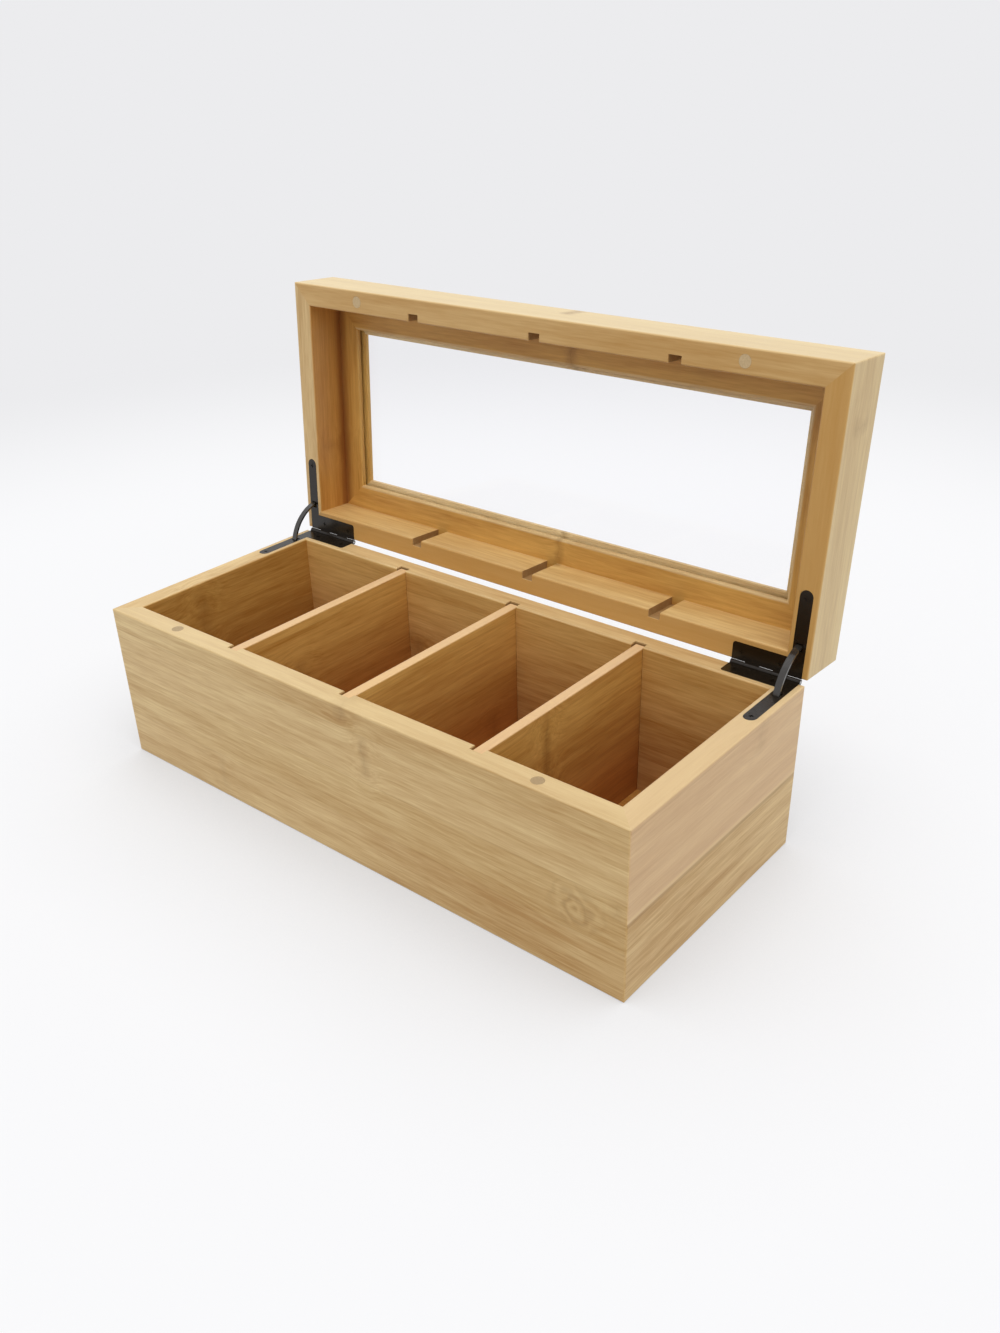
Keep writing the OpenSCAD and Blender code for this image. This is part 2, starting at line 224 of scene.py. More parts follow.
def board_axes(along, lid=False):
    """The matrix from an object's millimetres to a board's: U along the grain, V up the board
    and W out of it. A lid board is turned shut first."""
    swap = {
        "x": Matrix(((1, 0, 0), (0, 0, 1), (0, -1, 0))),
        "y": Matrix(((0, 1, 0), (0, 0, 1), (1, 0, 0))),
        "flat": Matrix.Identity(3),
    }[along]
    return swap.to_4x4() @ (shut_turn() if lid else Matrix.Identity(4))


class Ring(NamedTuple):
    """A growth ring, where the cane had a joint, in millimetres: its middle along and up the
    board, how far its halo reaches along the grain, half its length across, and its strength."""

    along: float
    up: float
    reach: float
    half: float
    strength: float


class Layer(NamedTuple):
    """A layer of fibre streaks: their length and width in millimetres, its share in the board's
    tone and how many octaves of noise it has."""

    long: float
    wide: float
    share: float
    detail: float


class Board:
    """The material of one bamboo board, in millimetres of the board itself. along follows the
    grain, up goes up the board, and out is the distance from the middle of the box. Each method
    lays one more thing over the colour so far."""

    # The real fibre bundles are half as wide as the finest streaks, too fine to show
    LAYERS = (Layer(90, 7, 1.2, 3.0), Layer(40, 1.8, 0.75, 3.0), Layer(14, 0.8, 0.8, 2.0))
    SEED_STEP = 7.31  # keeps the strips' numbers of two boards apart
    CANE_SHIFT = 400.0  # furthest that a strip's fibres start along the cane
    STRIP_SWING = 0.2  # how much the strips differ in tone
    BLUSH = 0.15  # how far the pinkest strip leans to pink
    LIFT_REACH = 110.0  # distance from the middle to where a board's added paleness is whole
    BEND = -0.7  # how hard a ring pulls the fibres round it
    RIPPLES = 14.0  # waves of a bud's eye, in radians over its half size
    CORNER_SHADE_REACH = 7.0  # how far the painted shade in a corner spreads

    def __init__(self, name, axes):
        self.settings = bpy.context.scene.tea_box_bamboo
        self.material, self.tree = new_material(name)
        self.add = partial(add, self.tree)
        place = self.add("TexCoord").outputs["Object"]
        self.place = self.add("Mapping", place, axes.to_translation(), axes.to_euler(),
                              (MM, MM, MM), vector_type="POINT")
        self.along, self.up, out = self.add("SeparateXYZ", self.place).outputs
        self.out = self.add("Math", out, operation="ABSOLUTE")

    def offset(self, along, up):
        """How far a point is from a place on the board, along the grain and up."""
        return (self.add("Math", self.along, along, operation="SUBTRACT"),
                self.add("Math", self.up, up, operation="SUBTRACT"))

    def apart(self, place, middle):
        """|place - middle|."""
        step = self.add("Math", place, middle, operation="SUBTRACT")
        return self.add("Math", step, operation="ABSOLUTE")

    def glue_up(self, seed, strip, first):
        """Strips side by side: floor((up - first) / strip) numbers them, and each number has its
        own tone, hue and start along the cane."""
        lane = self.add("Math", self.up, first, operation="SUBTRACT")
        self.lane = self.add("Math", lane, strip, operation="DIVIDE")
        self.strip = strip
        number = self.add("Math", self.add("Math", self.lane, operation="FLOOR"),
                          seed * self.SEED_STEP, operation="ADD")
        dice = self.add("TexWhiteNoise", number, noise_dimensions="1D")
        self.tone, start, self.hue = self.add("SeparateColor", dice.outputs["Color"]).outputs
        start = self.add("Math", start, self.CANE_SHIFT, self.along, operation="MULTIPLY_ADD")
        self.cane = self.add("CombineXYZ", start, self.up, self.out)

    def bend_fibres(self, ring):
        """Fibres go round a ring: they are pushed by BEND * half * strength * v *
        exp(-(u * u + v * v)), where u and v run from its middle in its own sizes."""
        u, v = self.offset(ring.along, ring.up)
        u = self.add("Math", u, 1.6 * ring.reach, operation="DIVIDE")
        v = self.add("Math", v, ring.half, operation="DIVIDE")
        square = self.add("Math", v, v, self.add("Math", u, u, operation="MULTIPLY"),
                          operation="MULTIPLY_ADD")
        bell = self.add("Math", math.e, self.add("Math", square, -1.0, operation="MULTIPLY"),
                        operation="POWER")
        push = self.add("Math", self.add("Math", bell, v, operation="MULTIPLY"),
                        self.BEND * ring.half * ring.strength, operation="MULTIPLY")
        self.cane = self.add("VectorMath", self.cane,
                             self.add("CombineXYZ", 0.0, push, push), operation="ADD")

    def grow_fibres(self, lift):
        """The wood itself: each layer is a noise stretched along the cane, and their sum with the
        strip's tone runs from the dark to the pale fibre. lift is added at either end."""
        settings = self.settings
        pale = self.add("Math", self.tone, self.STRIP_SWING, 0.5 - self.STRIP_SWING / 2,
                        operation="MULTIPLY_ADD")
        self.streaks = []
        for layer in self.LAYERS:
            fine = (1 / layer.long, 1 / layer.wide, 1 / layer.wide)
            stretched = self.add("VectorMath", self.cane, fine, operation="MULTIPLY")
            noise = self.add("TexNoise", stretched, Scale=1.0, Detail=layer.detail,
                             Roughness=0.55, Distortion=0.3)
            self.streaks.append(noise)
            swing = self.add("Math", noise, 0.5, operation="SUBTRACT")
            pale = self.add("Math", swing, layer.share, pale, operation="MULTIPLY_ADD")
        ends = self.add("MapRange", self.along, -self.LIFT_REACH, self.LIFT_REACH, *lift)
        pale = self.add("Math", pale, ends, operation="ADD", use_clamp=True)
        self.colour = self.add("Mix", pale, rgba(settings.dark), rgba(settings.pale),
                               data_type="RGBA")
        blush = self.add("Math", self.hue, self.BLUSH, operation="MULTIPLY")
        self.colour = self.add("Mix", blush, self.colour, rgba(settings.blush),
                               data_type="RGBA")

    def add_pale_board_and_sheen(self, face, share):
        """Outer face of the lid, face being its distance from the middle: paler than the rest,
        partly a paler board and partly painted sheen.
        """
        pale_board_and_sheen = self.add("MapRange", self.out, face - SKIN, face - 0.1, 0.0, share)
        self.colour = self.add("Mix", pale_board_and_sheen, self.colour, rgba(self.settings.pale_board_and_sheen),
                               data_type="RGBA")

    def join(self, seam):
        """Upper board of a side: paler and pinker than the one below the seam, with a dark line
        below the seam and a pale one above it."""
        settings = self.settings
        above = self.add("MapRange", self.up, seam - 0.6, seam + 0.6, 0.0, 0.5,
                         interpolation_type="SMOOTHSTEP")
        self.colour = self.add("Mix", above, self.colour, rgba(settings.blush),
                               data_type="RGBA")
        for middle, reach, share, colour in ((-0.8, 1.5, 0.3, settings.node),
                                             (1.2, 1.4, 0.4, settings.pale)):
            line = self.add("MapRange", self.apart(self.up, seam + middle), 0.0, reach, share,
                            0.0, interpolation_type="SMOOTHSTEP")
            self.colour = self.add("Mix", line, self.colour, rgba(colour), data_type="RGBA")

    def draw_rings(self, rings):
        """Rings: a thin wavy line across the strip, in a soft dark halo."""
        wave = self.add("TexNoise", self.cane, Scale=0.16, Detail=3.0, Roughness=0.6)
        for ring in rings:
            u, v = self.offset(ring.along, ring.up)
            # The noise is about 0.5, so twice the shift of it leaves the line in its place
            shift = 0.8 * ring.reach
            u = self.add("Math", u, shift, operation="SUBTRACT")
            u = self.add("Math", wave, 2 * shift, u, operation="MULTIPLY_ADD")
            u = self.add("Math", u, operation="ABSOLUTE")
            v = self.add("Math", v, operation="ABSOLUTE")
            inside = self.add("MapRange", v, 0.55 * ring.half, 1.05 * ring.half, ring.strength,
                              0.0, interpolation_type="SMOOTHSTEP")
            core = self.add("MapRange", u, 0.0, 0.3 * ring.reach, 0.4, 0.0,
                            interpolation_type="SMOOTHSTEP")
            halo = self.add("MapRange", u, 0.0, ring.reach, 0.3, 0.0,
                            interpolation_type="SMOOTHSTEP")
            mark = self.add("Math", core, halo, operation="MAXIMUM")
            mark = self.add("Math", mark, inside, operation="MULTIPLY")
            self.colour = self.add("Mix", mark, self.colour, rgba(self.settings.node),
                                   data_type="RGBA")

    def draw_eye(self, along, up, half_along, half_up):
        """Eye of a bud: waves sin(RIPPLES * r) run out from its middle, where r is the distance
        in its own half sizes, made uneven by a noise, and they die away by r = 1.2."""
        u, v = self.offset(along, up)
        u = self.add("Math", u, half_along, operation="DIVIDE")
        v = self.add("Math", v, half_up, operation="DIVIDE")
        radius = self.add("VectorMath", self.add("CombineXYZ", u, v, 0.0),
                          operation="LENGTH").outputs["Value"]
        crumple = self.add("TexNoise", self.place, Scale=0.11, Detail=2.0, Roughness=0.4)
        uneven = self.add("Math", crumple, 1.2, radius, operation="MULTIPLY_ADD")
        ripple = self.add("Math", uneven, self.RIPPLES, operation="MULTIPLY")
        ripple = self.add("Math", ripple, operation="SINE")
        mask = self.add("MapRange", radius, 0.2, 1.2, 0.24, 0.0,
                        interpolation_type="SMOOTHSTEP")
        for side, colour in ((1.0, self.settings.node), (-1.0, self.settings.pale)):
            crest = self.add("MapRange", ripple, 0.0, side)
            crest = self.add("Math", crest, mask, operation="MULTIPLY")
            self.colour = self.add("Mix", crest, self.colour, rgba(colour), data_type="RGBA")

    def draw_glue_lines(self):
        """Glue lines between strips, 0.4 mm to either side: |fract(lane) - 0.5| is 0.5 on one."""
        edge = self.apart(self.add("Math", self.lane, operation="FRACT"), 0.5)
        self.glue = self.add("MapRange", edge, 0.5 - 0.4 / self.strip, 0.5, 0.0, 0.16)
        self.colour = self.add("Mix", self.glue, self.colour, rgba(self.settings.node),
                               data_type="RGBA")

    def tint_and_shade_inner_faces(self, tone, inner, shade_fade_heights, top, hole):
        """Inner faces: tinted darker and more orange, partly the board's own tone and partly
        painted shade. The tint reaches out to inner, up to top and in to hole, and painted shade
        darkens it towards the bottom, between the two heights given."""
        tint = rgba(linear(tone))
        if shade_fade_heights is not None:
            # Painted shade: the inner faces grow darker and redder towards the bottom, between the
            # two heights given
            shallow = self.add("MapRange", self.up, *shade_fade_heights, interpolation_type="SMOOTHSTEP")
            painted_depth_shade = self.add("Mix", shallow, rgba(self.settings.painted_depth_shade),
                              rgba(linear("#FFFFFF")), data_type="RGBA")
            tint = self.add("Mix", 1.0, painted_depth_shade, tint, data_type="RGBA", blend_type="MULTIPLY")
        self.within = self.add("MapRange", self.out, inner + 0.05, inner + 0.5, 1.0, 0.0)
        if top is not None:
            below = self.add("MapRange", self.up, top - 0.8, top - 0.3, 1.0, 0.0)
            self.within = self.add("Math", self.within, below, operation="MULTIPLY")
        if hole is not None:
            outside = self.add("MapRange", self.out, hole, hole + 0.4)
            self.within = self.add("Math", self.within, outside, operation="MULTIPLY")
        self.colour = self.add("Mix", self.within, self.colour, tint, data_type="RGBA",
                               blend_type="MULTIPLY")

    def paint_corner_shade(self, out, up, share):
        """Inner corner of the lid, where the wall meets the rail: painted shade makes it darker
        there.
        The distance from it is |out - its out| + |up - its up|."""
        away = self.add("Math", self.apart(self.out, out), self.apart(self.up, up),
                        operation="ADD")
        ran = self.add("MapRange", away, 0.0, self.CORNER_SHADE_REACH, share, 0.0,
                       interpolation_type="SMOOTHSTEP")
        ran = self.add("Math", ran, self.within, operation="MULTIPLY")
        self.colour = self.add("Mix", ran, self.colour, rgba(self.settings.ran),
                               data_type="RGBA")

    def paint_groove_shade(self, inner, rim_height):
        """Grooves: painted shade on their floors and cheeks, where they lie in shadow. The band
        starts
        0.5 mm behind the wall's face, and keeps off the rim and the underside of the base's walls."""
        half = GROOVE_BAND / 2
        groove_shade = self.add("MapRange", self.apart(self.out, inner + 0.5 + half), half, half + 0.2,
                          0.7, 0.0)
        for height, least in ((self.apart(self.up, rim_height), 0.9), (self.up, 1.6)):
            clear = self.add("MapRange", height, least - 0.3, least)
            groove_shade = self.add("Math", groove_shade, clear, operation="MULTIPLY")
        self.colour = self.add("Mix", groove_shade, self.colour, rgba(self.settings.groove_shade),
                               data_type="RGBA")

    def cut_rim(self, height, colour, share):
        """Rim: cut last, so its colour is its own, except on the lid, where its darker colour is
        painted shade. The faces take the rim's colour within 0.7 mm below it too, a line along the
        edge that
        is partly wear and partly painted light: a highlight on the base and the dividers, shade on
        the lid.
        """
        rim = self.add("MapRange", self.apart(self.up, height), 0.15, 0.7, share, 0.0)
        self.colour = self.add("Mix", rim, self.colour, rgba(colour), data_type="RGBA")

    def lacquer(self):
        """Thin satin lacquer over everything: it follows the fibres, and sinks at glue lines."""
        streak, fibre = self.streaks[1:]
        rough = self.add("Math", streak, 0.16, 0.34, operation="MULTIPLY_ADD")
        height = self.add("Math", fibre, 0.5, streak, operation="MULTIPLY_ADD")
        height = self.add("Math", height, self.glue, operation="SUBTRACT")
        bump = self.add("Bump", Strength=0.35, Distance=0.00012, Height=height)
        finish_material(self.tree, self.add("BsdfPrincipled", Base_Color=self.colour,
                                            Roughness=rough, IOR=1.48, Normal=bump))
        return self.material


def bamboo(name, axes, seed, tone, inner, strip=None, first=0.0, lift=(0.0, 0.0), rings=(),
           eye=None, seam=None, outer=None, shade_fade_heights=SHADE_FADE_HEIGHTS, top=None, hole=None, corner=None,
           rim=None, grooved=False):
    """Laminated bamboo under thin satin lacquer. Long parallel fibres, strips of slightly
    different tone glued edge to edge, and a knotty ring here and there across a strip.

    tone tints the faces nearer the middle than inner, partly the board's own tone and partly
    painted shade; strip and first are the strips' width and where they start, lift is the
    paleness added at either end, and the rest are what the methods of Board take, each left out
    where a board has none.
    """
    board = Board(name, axes)
    board.glue_up(seed, strip or board.settings.strip * MM, first)
    for ring in rings:
        board.bend_fibres(ring)
    board.grow_fibres(lift)
    if outer is not None:
        board.add_pale_board_and_sheen(*outer)
    if seam is not None:
        board.join(seam)
    board.draw_rings(rings)
    if eye is not None:
        board.draw_eye(*eye)
    board.draw_glue_lines()
    board.tint_and_shade_inner_faces(tone, inner, shade_fade_heights, top, hole)
    if corner is not None:
        board.paint_corner_shade(*corner)
    if grooved:
        board.paint_groove_shade(inner, rim[0])
    if rim is not None:
        board.cut_rim(*rim)
    return board.lacquer()


def black_coat():
    """Stamped steel with a black electro-coat. Satin black with faint grain, and a little of the
    light caught on it."""
    settings = bpy.context.scene.tea_box_hinges
    material, tree = new_material("black_electro_coat")
    place = add(tree, "TexCoord").outputs["Object"]
    # Orange peel of the coat 1.2 mm across, and dust 0.3 mm across
    peel = add(tree, "TexNoise", place, Scale=MM / 1.2, Detail=2.0, Roughness=0.5)
    dust = add(tree, "TexNoise", place, Scale=MM / 0.3, Detail=1.0)
    # The black's lean to brown is a painted reflection of the wood
    colour = add(tree, "Mix", add(tree, "MapRange", dust, 0.45, 0.8, 0.0, 0.3),
                 rgba(settings.black), rgba(linear("#2E2A22")), data_type="RGBA")
    rough = add(tree, "Math", peel, 0.16, 0.16, operation="MULTIPLY_ADD")
    bump = add(tree, "Bump", Strength=0.2, Distance=0.00004, Height=peel)
    finish_material(tree, add(tree, "BsdfPrincipled", Base_Color=colour, Roughness=rough,
                              IOR=1.5, Specular_IOR_Level=0.4, Normal=bump))
    return material


def burnished_black():
    """Black strap of the stay arms, burnished where it rubs in its slots. Darker than the coat
    of the leaves and glossier, with long soft highlights."""
    settings = bpy.context.scene.tea_box_hinges
    material, tree = new_material("burnished_black_strap")
    place = add(tree, "TexCoord").outputs["Object"]
    # Rubbed patches 3 mm across
    rubbed = add(tree, "TexNoise", place, Scale=MM / 3, Detail=3.0, Roughness=0.6)
    # The black's lean to brown is a painted reflection of the wood
    colour = add(tree, "Mix", add(tree, "MapRange", rubbed, 0.35, 0.75), rgba(settings.black),
                 rgba(linear("#26241F")), data_type="RGBA")
    rough = add(tree, "Math", rubbed, 0.15, 0.12, operation="MULTIPLY_ADD")
    finish_material(tree, add(tree, "BsdfPrincipled", Base_Color=colour, Roughness=rough,
                              IOR=1.6, Coat_Weight=0.5, Coat_Roughness=0.08))
    return material


def drawn_steel():
    """Drawn steel wire. Bright grey with fine lines round the pin from the die."""
    settings = bpy.context.scene.tea_box_hinges
    material, tree = new_material("drawn_steel_wire")
    place = add(tree, "TexCoord").outputs["Object"]
    lines = add(tree, "TexNoise", add(tree, "VectorMath", place, (MM / 4, MM / 0.15, MM / 0.15),
                                      operation="MULTIPLY"), Scale=1.0, Detail=2.0)
    colour = add(tree, "Mix", lines, rgba(settings.wire), rgba(linear("#C9C8C5")),
                 data_type="RGBA")
    rough = add(tree, "Math", lines, 0.15, 0.25, operation="MULTIPLY_ADD")
    finish_material(tree, add(tree, "BsdfPrincipled", Base_Color=colour, Metallic=1.0,
                              Roughness=rough))
    return material


def nickel_plate():
    """Barrel-plated nickel on a pressed magnet. Its grey is turned warm, a painted reflection of
    the wood round it. Dull, with fine scuffs."""
    settings = bpy.context.scene.tea_box_hinges
    material, tree = new_material("dull_nickel_plate")
    place = add(tree, "TexCoord").outputs["Object"]
    scuff = add(tree, "TexNoise", place, Scale=MM / 0.6, Detail=4.0, Roughness=0.65)
    colour = add(tree, "Mix", scuff, rgba(settings.nickel), rgba(linear("#B6A07B")),
                 data_type="RGBA")
    rough = add(tree, "Math", scuff, 0.3, 0.35, operation="MULTIPLY_ADD")
    finish_material(tree, add(tree, "BsdfPrincipled", Base_Color=colour, Metallic=1.0,
                              Roughness=rough))
    return material


def clear_acrylic():
    """Cast acrylic sheet with a coat against glare, so its IOR is below acrylic's 1.49. Clear,
    with the faintest ripple in what it reflects."""
    material, tree = new_material("clear_acrylic_sheet")
    place = add(tree, "TexCoord").outputs["Object"]
    ripple = add(tree, "TexNoise", place, Scale=MM / 30, Detail=1.0)
    bump = add(tree, "Bump", Strength=0.04, Distance=0.0005, Height=ripple)
    pane = add(tree, "BsdfPrincipled", Base_Color=rgba(linear("#FDFDFE")), Roughness=0.02,
               IOR=1.2, Transmission_Weight=1.0, Normal=bump)
    # Lamps shine through the pane, as they do through thin acrylic
    lamps = add(tree, "LightPath").outputs["Is Shadow Ray"]
    finish_material(tree, add(tree, "MixShader", lamps, pane,
                              add(tree, "BsdfTransparent", Color=rgba(linear("#F6F9F9")))))
    return material


# ------------------------------------------------------------------ operators


class TEABOX_OT_base(bpy.types.Operator):
    """Finishes the four walls of the base and its floor panel in bamboo"""

    bl_idname = "tea_box.base"
    bl_label = "Base Boards"

    def execute(self, context):
        planed = context.scene.tea_box_bamboo.rim
        long_wall = {"strip": 24, "inner": HALF_WIDTH - WALL, "grooved": True}
        side_wall = {"strip": SEAM - SEAM_START, "first": SEAM_START, "tone": "#DEC797",
                     "inner": HALF_LENGTH - WALL}
        dress("base_front_wall", bamboo(
            "bamboo_base_front", board_axes("x"), 1, tone="#DEC797", lift=(0.12, -0.1),
            rim=(BASE_HEIGHT, planed, 0.55), eye=(132, 36, 16, 13),
            rings=(Ring(6.5, 80, 7, 6, 0.7), Ring(20, 61, 5, 12, 0.7), Ring(132, 36, 15, 13, 0.2),
                   Ring(150, 43, 5, 5, 0.4), Ring(-84, 14, 6, 11, 0.3)), **long_wall))
        dress("base_back_wall", bamboo(
            "bamboo_base_back", board_axes("x"), 2, tone="#FFEDAF", lift=(0.08, -0.08),
            rim=(BASE_HEIGHT, planed, 0.25), shade_fade_heights=DEEP_SHADE_FADE_HEIGHTS,
            rings=(Ring(-62, 36, 7, 12, 0.9), Ring(30, 12, 7, 12, 0.7)), **long_wall))
        dress("base_left_wall", bamboo(
            "bamboo_base_left", board_axes("y"), 3, rim=(BASE_HEIGHT, planed, 0.15),
            rings=(Ring(-20, 60, 7, 20, 0.7),), **side_wall))
        dress("base_right_wall", bamboo(
            "bamboo_base_right", board_axes("y"), 4, lift=(-0.12, 0.05), seam=SEAM,
            rim=(BASE_HEIGHT, planed, 0.5), rings=(Ring(30, 78, 8, 12, 0.4),), **side_wall))
        dress("base_floor", bamboo(
            "bamboo_floor", board_axes("flat"), 5, tone="#D8B684", inner=FLOOR_TOP + 0.2,
            shade_fade_heights=None, rings=(Ring(40, -20, 7, 11, 0.8),)))
        return {"FINISHED"}


class TEABOX_OT_dividers(bpy.types.Operator):
    """Finishes the three loose dividers in sanded bamboo"""

    bl_idname = "tea_box.dividers"
    bl_label = "Dividers"

    def execute(self, context):
        sanded = context.scene.tea_box_bamboo.sanded
        rings = {
            "left": (Ring(-22, 52, 7, 12, 0.8),),
            "middle": (Ring(36, 22, 7, 12, 0.7),),
            "right": (Ring(-17, 61, 5, 22, 1.2), Ring(-28, 20, 6, 10, 0.7)),
        }
        for seed, place in enumerate(rings, 11):
            node = "divider_" + place
            dress(node, bamboo(
                "bamboo_" + node, board_axes("y"), seed, strip=26, rings=rings[place],
                tone="#F8E4B4", inner=HALF_LENGTH, rim=(box_mm(node)[1].z, sanded, 0.62),
                shade_fade_heights=DEEP_SHADE_FADE_HEIGHTS))
        return {"FINISHED"}


class LidWall(NamedTuple):
    """What one wall of the lid has of its own: which way its grain runs, its inner tone, its
    lift, how pale its outer face is (partly a paler board, partly painted sheen), how dark its rim
    is painted (painted shade), how dark the painted shade in its inner corner is, whether the
    window's edge keeps clear of its rail's tint, and its rings."""

    grain: str
    tone: str
    lift: tuple
    pale_board_and_sheen: float
    sawn: float
    ran: float
    clear_edge: bool
    rings: tuple


class TEABOX_OT_lid(bpy.types.Operator):
    """Finishes the walls of the lid and the rails round its window in bamboo"""

    bl_idname = "tea_box.lid"
    bl_label = "Lid Boards"

    WALLS = {
        "front": LidWall("x", "#DEC48E", (0.05, -0.2), 0.6, 0.45, 0.3, True,
                         (Ring(10, 104, 5, 7, 1.3),)),
        "back": LidWall("x", "#FFF6DA", (-0.06, 0.08), 0.1, 0.8, 0.0, True,
                        (Ring(7, 106, 4, 7, 1.1),)),
        "left": LidWall("y", "#E4C48E", (0.0, 0.0), 0.1, 0.0, 0.75, False,
                        (Ring(20, 95, 6, 10, 0.5),)),
        "right": LidWall("y", "#DEC08A", (-0.3, 0.0), 0.35, 0.8, 0.3, True,
                         (Ring(-40, 98, 6, 8, 0.5),)),
    }

    def execute(self, context):
        # sawn is the colour of the lid's rim, a painted shade
        sawn = context.scene.tea_box_bamboo.sawn
        rim_height = shut_span("lid_front_wall", 2)[0]
        lid_top = shut_span("lid_front_rail", 2)[1]
        for seed, (place, wall) in enumerate(self.WALLS.items(), 21):
            # X and Y, the axis that the wall faces along, and half the box's size that way
            facing, outer = (1, HALF_WIDTH) if wall.grain == "x" else (0, HALF_LENGTH)
            inner = outer - WALL
            rail = "lid_" + place + "_rail"
            # wall.ran is the strength of the painted shade in the inner corner
            corner = (inner, shut_span(rail, 2)[0], wall.ran)
            # One strip is wide enough for a lid wall, and starts below it
            shared = {"strip": 40, "first": BASE_HEIGHT - 4, "rings": wall.rings,
                      "outer": (outer, wall.pale_board_and_sheen), "corner": corner}
            dress("lid_" + place + "_wall", bamboo(
                "bamboo_lid_" + place, board_axes(wall.grain, lid=True), seed, tone=wall.tone,
                lift=wall.lift, inner=inner, grooved=wall.grain == "x",
                rim=(rim_height, sawn, wall.sawn), **shared))
            hole = None
            if wall.clear_edge:
                hole = shut_span(rail, facing)[0] + WINDOW_LIP + WINDOW_EDGE
            dress(rail, bamboo(
                "bamboo_rail_" + place, board_axes(wall.grain, lid=True), seed, tone="#EFD8A2",
                inner=outer - SKIN, top=lid_top, hole=hole, **shared))
        return {"FINISHED"}


class TEABOX_OT_window(bpy.types.Operator):
    """Finishes the window pane in clear acrylic"""

    bl_idname = "tea_box.window"
    bl_label = "Window Pane"

    def execute(self, context):
        dress("window_pane", clear_acrylic())
        return {"FINISHED"}


class TEABOX_OT_hinges(bpy.types.Operator):
    """Finishes the hinge leaves, stay arms and screws in black and the pins in bare steel"""

    bl_idname = "tea_box.hinges"
    bl_label = "Hinges"

    def execute(self, context):
        black, burnished, steel = black_coat(), burnished_black(), drawn_steel()
        for side in ("left", "right"):
            for piece in ("lower_leaf", "upper_leaf", "lower_screws", "upper_screws"):
                dress(side + "_" + piece, black)
            dress(side + "_stay_arm", burnished)
            dress(side + "_hinge_pin", steel)
        return {"FINISHED"}


class TEABOX_OT_magnets(bpy.types.Operator):
    """Finishes the four round magnets in dull nickel"""

    bl_idname = "tea_box.magnets"
    bl_label = "Magnets"

    def execute(self, context):
        nickel = nickel_plate()
        for node in ("base_magnets", "lid_magnets"):
            dress(node, nickel)
        return {"FINISHED"}


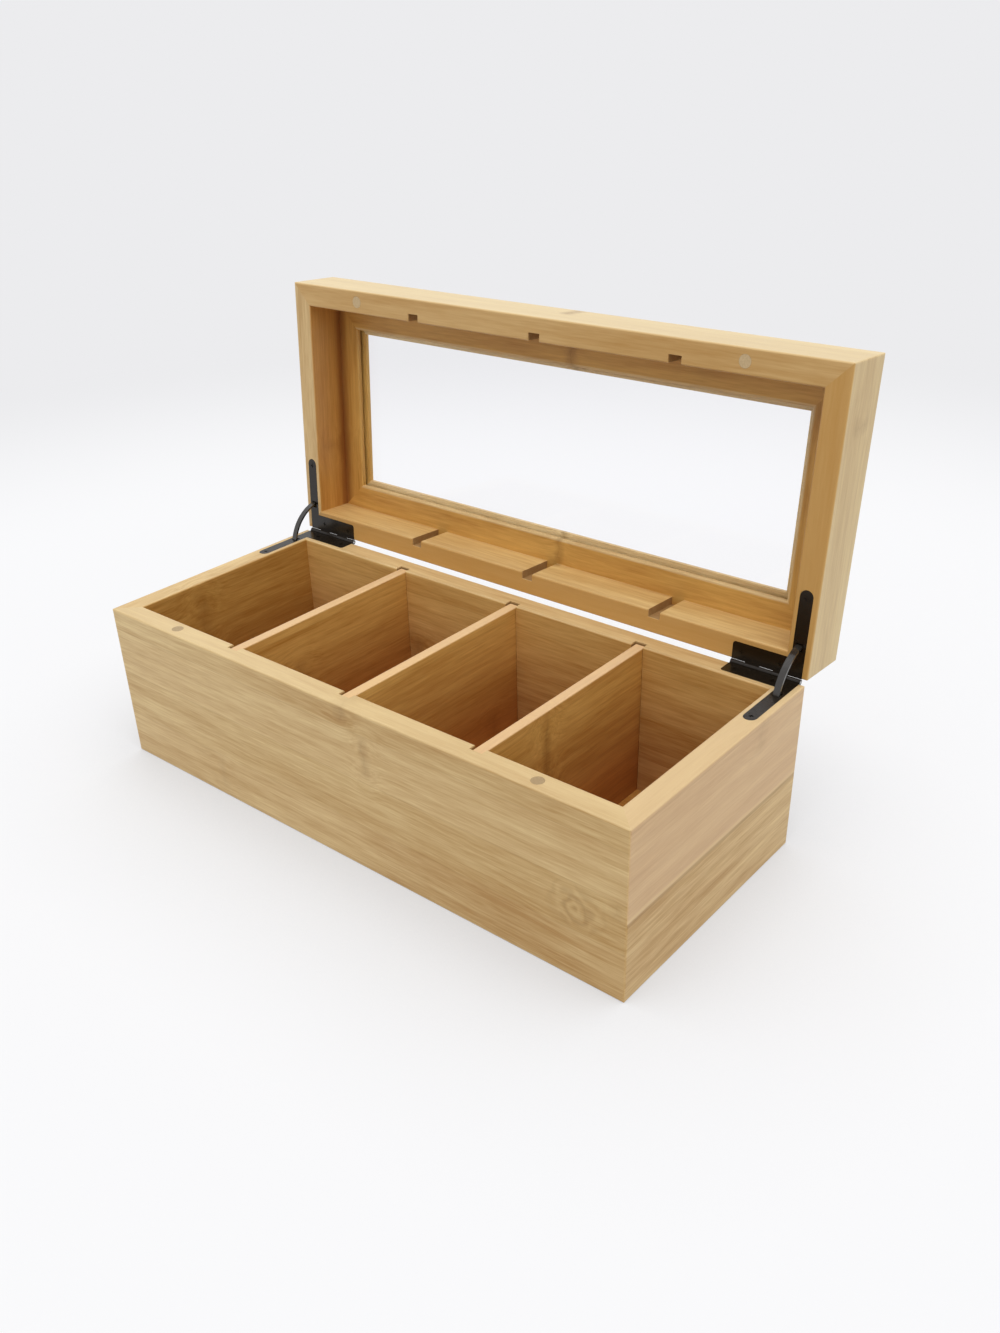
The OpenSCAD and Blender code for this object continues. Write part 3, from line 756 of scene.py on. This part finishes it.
class TEABOX_OT_studio(bpy.types.Operator):
    """Sets up the pale floor, the soft light and the camera"""

    bl_idname = "tea_box.studio"
    bl_label = "Studio"

    def execute(self, context):
        settings = context.scene.tea_box_studio
        self.lay_floor(settings)
        self.light(context, settings)
        self.aim_camera(context)
        context.scene.view_settings.view_transform = "Standard"
        return {"FINISHED"}

    FLOOR_HALF = 8.0  # half the floor's side, in metres
    FADE = (0.45, 0.95)  # where the floor starts to fade into the backdrop and where it is gone
    SHADE_REACH = 0.12  # how far from the box its soft shadow on the floor reaches
    LAMP_FROM = (0.28, -0.22, 1.0)  # direction to the overhead lamp
    LAMP_SPREAD = 70  # how wide the lamp looks from the box, in degrees
    LENS = 32.13  # focal length in millimetres, on a 36 mm sensor
    SHIFT = (0.01077, 0.04155)
    EYE = (0.34262, -0.35919, 0.33184)  # place of the camera, in metres
    # Degrees that the camera turns left of +Y, looks down and leans, in that order
    TURN, DIP, LEAN = 40.8398, 30.4768, -1.9343

    def lay_floor(self, settings):
        """A flat sheet of matt paper. Part of what the camera sees of it is its own colour,
        dimmed where the box stands over it, and the rest is lit. Far from the box it fades into
        the backdrop, and to the box it is a plain grey, so it throws little light up."""
        half = self.FLOOR_HALF
        mesh = bpy.data.meshes.new("studio_floor")
        corners = [(-half, -half, 0), (half, -half, 0), (half, half, 0), (-half, half, 0)]
        mesh.from_pydata(corners, [], [(0, 1, 2, 3)])
        floor = bpy.data.objects.new("studio_floor", mesh)
        bpy.context.scene.collection.objects.link(floor)
        material, tree = new_material("seamless_paper")
        seen = self.seen_directly(tree)
        grey = rgba(linear("#BEBEBE"))
        place = add(tree, "TexCoord").outputs["Object"]
        away = add(tree, "VectorMath", place, operation="LENGTH").outputs["Value"]
        away = add(tree, "MapRange", away, *self.FADE, interpolation_type="SMOOTHSTEP")
        paper = add(tree, "Mix", seen, grey, rgba(linear("#F9FBFF")), data_type="RGBA")
        sheet = add(tree, "BsdfDiffuse", Color=paper)
        shade = add(tree, "AmbientOcclusion", Distance=self.SHADE_REACH, samples=8).outputs["AO"]
        glow = add(tree, "Emission", Color=rgba(settings.floor),
                   Strength=add(tree, "MapRange", shade, 0.5, 0.95, 0.72, 1.0))
        near = add(tree, "MixShader", add(tree, "Math", seen, 0.65, operation="MULTIPLY"), sheet,
                   glow)
        distant = add(tree, "Mix", seen, grey, rgba(settings.backdrop), data_type="RGBA")
        far = add(tree, "Emission", Color=distant)
        finish_material(tree, add(tree, "MixShader", away, near, far))
        mesh.materials.append(material)

    def seen_directly(self, tree):
        """1 for what the camera sees itself, in a mirror or through glass, else 0."""
        path = add(tree, "LightPath").outputs
        seen = add(tree, "Math", path["Is Camera Ray"], path["Is Glossy Ray"],
                   operation="MAXIMUM")
        return add(tree, "Math", seen, path["Is Transmission Ray"], operation="MAXIMUM")

    def light(self, context, settings):
        """Even daylight from all round, and one very broad lamp overhead, a little to the front
        and right."""
        world = bpy.data.worlds.new("studio_daylight")
        context.scene.world = world
        world.use_nodes = True
        tree = world.node_tree
        tree.nodes.clear()
        daylight = add(tree, "Background", Color=rgba(linear("#FFFFFF")),
                       Strength=settings.daylight)
        backdrop = add(tree, "Background", Color=rgba(settings.backdrop), Strength=1.0)
        add(tree, "OutputWorld", Surface=add(
            tree, "MixShader", self.seen_directly(tree), daylight, backdrop))

        lamp = bpy.data.lights.new("softbox", "SUN")
        lamp.energy = settings.softbox
        lamp.angle = math.radians(self.LAMP_SPREAD)
        lamp.color = linear("#FFFCF6")
        place = bpy.data.objects.new("softbox", lamp)
        place.rotation_euler = Vector(self.LAMP_FROM).to_track_quat("Z", "Y").to_euler()
        context.scene.collection.objects.link(place)

    def aim_camera(self, context):
        """The camera stands in front on the right. It is turned left, tipped down and leant a
        little about its own line of sight."""
        camera = bpy.data.cameras.new("camera")
        camera.lens = self.LENS
        camera.sensor_width = 36
        camera.shift_x, camera.shift_y = self.SHIFT
        camera.clip_start = 0.01
        eye = bpy.data.objects.new("camera", camera)
        turn = Matrix.Rotation(math.radians(self.TURN), 4, "Z")
        tip = Matrix.Rotation(math.radians(90 - self.DIP), 4, "X")
        lean = Matrix.Rotation(math.radians(self.LEAN), 4, "Z")
        eye.matrix_world = Matrix.Translation(self.EYE) @ turn @ tip @ lean
        context.scene.collection.objects.link(eye)
        context.scene.camera = eye


class TEABOX_PT_panel(bpy.types.Panel):
    """Lists the steps that finish the box"""

    bl_idname = "TEABOX_PT_panel"
    bl_label = "Tea Box"
    bl_space_type = "VIEW_3D"
    bl_region_type = "UI"
    bl_category = "Tea Box"

    def draw(self, context):
        for step in STEPS:
            self.layout.operator(step.bl_idname)
        for group in ("tea_box_bamboo", "tea_box_hinges", "tea_box_studio"):
            settings = getattr(context.scene, group)
            box = self.layout.box()
            for name in settings.__annotations__:
                box.prop(settings, name)


STEPS = (TEABOX_OT_base, TEABOX_OT_dividers, TEABOX_OT_lid, TEABOX_OT_window, TEABOX_OT_hinges,
         TEABOX_OT_magnets, TEABOX_OT_studio)
GROUPS = {
    "tea_box_bamboo": BambooSettings,
    "tea_box_hinges": HingeSettings,
    "tea_box_studio": StudioSettings,
}


def register():
    for cls in (*GROUPS.values(), *STEPS, TEABOX_PT_panel):
        bpy.utils.register_class(cls)
    for name, group in GROUPS.items():
        setattr(bpy.types.Scene, name, PointerProperty(type=group))


def unregister():
    for name in GROUPS:
        delattr(bpy.types.Scene, name)
    for cls in reversed((*GROUPS.values(), *STEPS, TEABOX_PT_panel)):
        bpy.utils.unregister_class(cls)


def main():
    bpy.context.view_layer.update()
    register()
    for step in STEPS:
        group, name = step.bl_idname.split(".")
        getattr(getattr(bpy.ops, group), name)()


if __name__ == "__main__":
    main()
